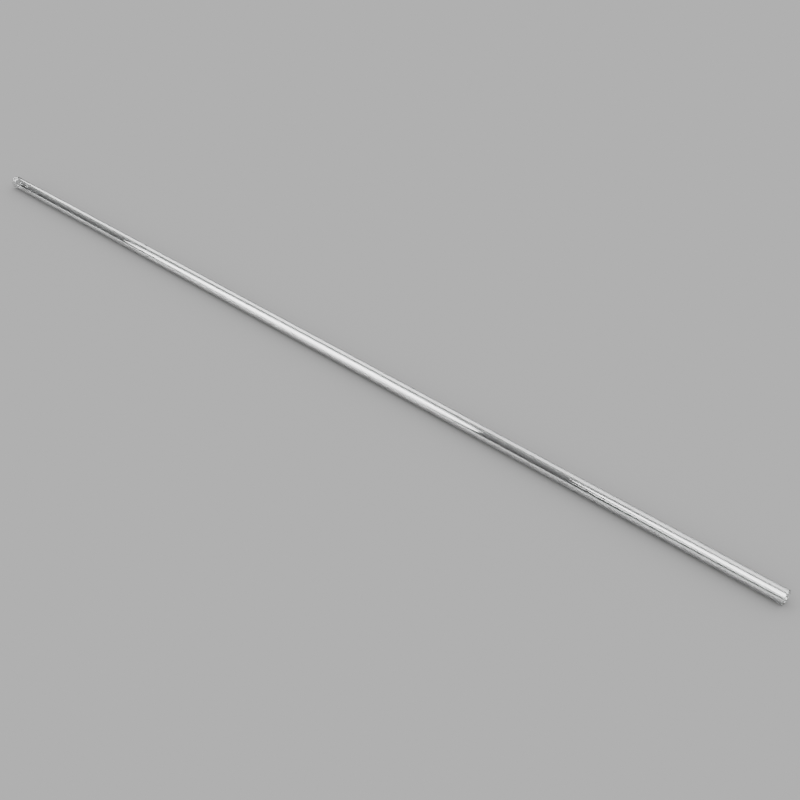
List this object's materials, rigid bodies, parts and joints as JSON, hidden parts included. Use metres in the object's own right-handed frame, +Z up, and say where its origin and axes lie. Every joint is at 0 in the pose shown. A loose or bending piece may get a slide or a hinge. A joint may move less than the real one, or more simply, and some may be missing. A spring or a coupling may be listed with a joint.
{
  "type": "condenser inner tube",
  "caption": "Straight clear glass tube with an open bore and fire-polished ends: the inner condensing tube that slides through the stoppers of a Liebig condenser's water jacket.",
  "frame": {"origin": "on the tube's axis, at the middle of its length", "axes": "+X along the tube's axis, +Z up as it lies on a bench, +Y across"},
  "size_m": [0.6, 0.008, 0.008],
  "materials": {
    "borosilicate_glass": "clear drawn tubing, smooth and colourless, rims fire-polished"
  },
  "bodies": {
    "root": {"inner_condensing_tube": "borosilicate_glass"}
  },
  "joints": []
}
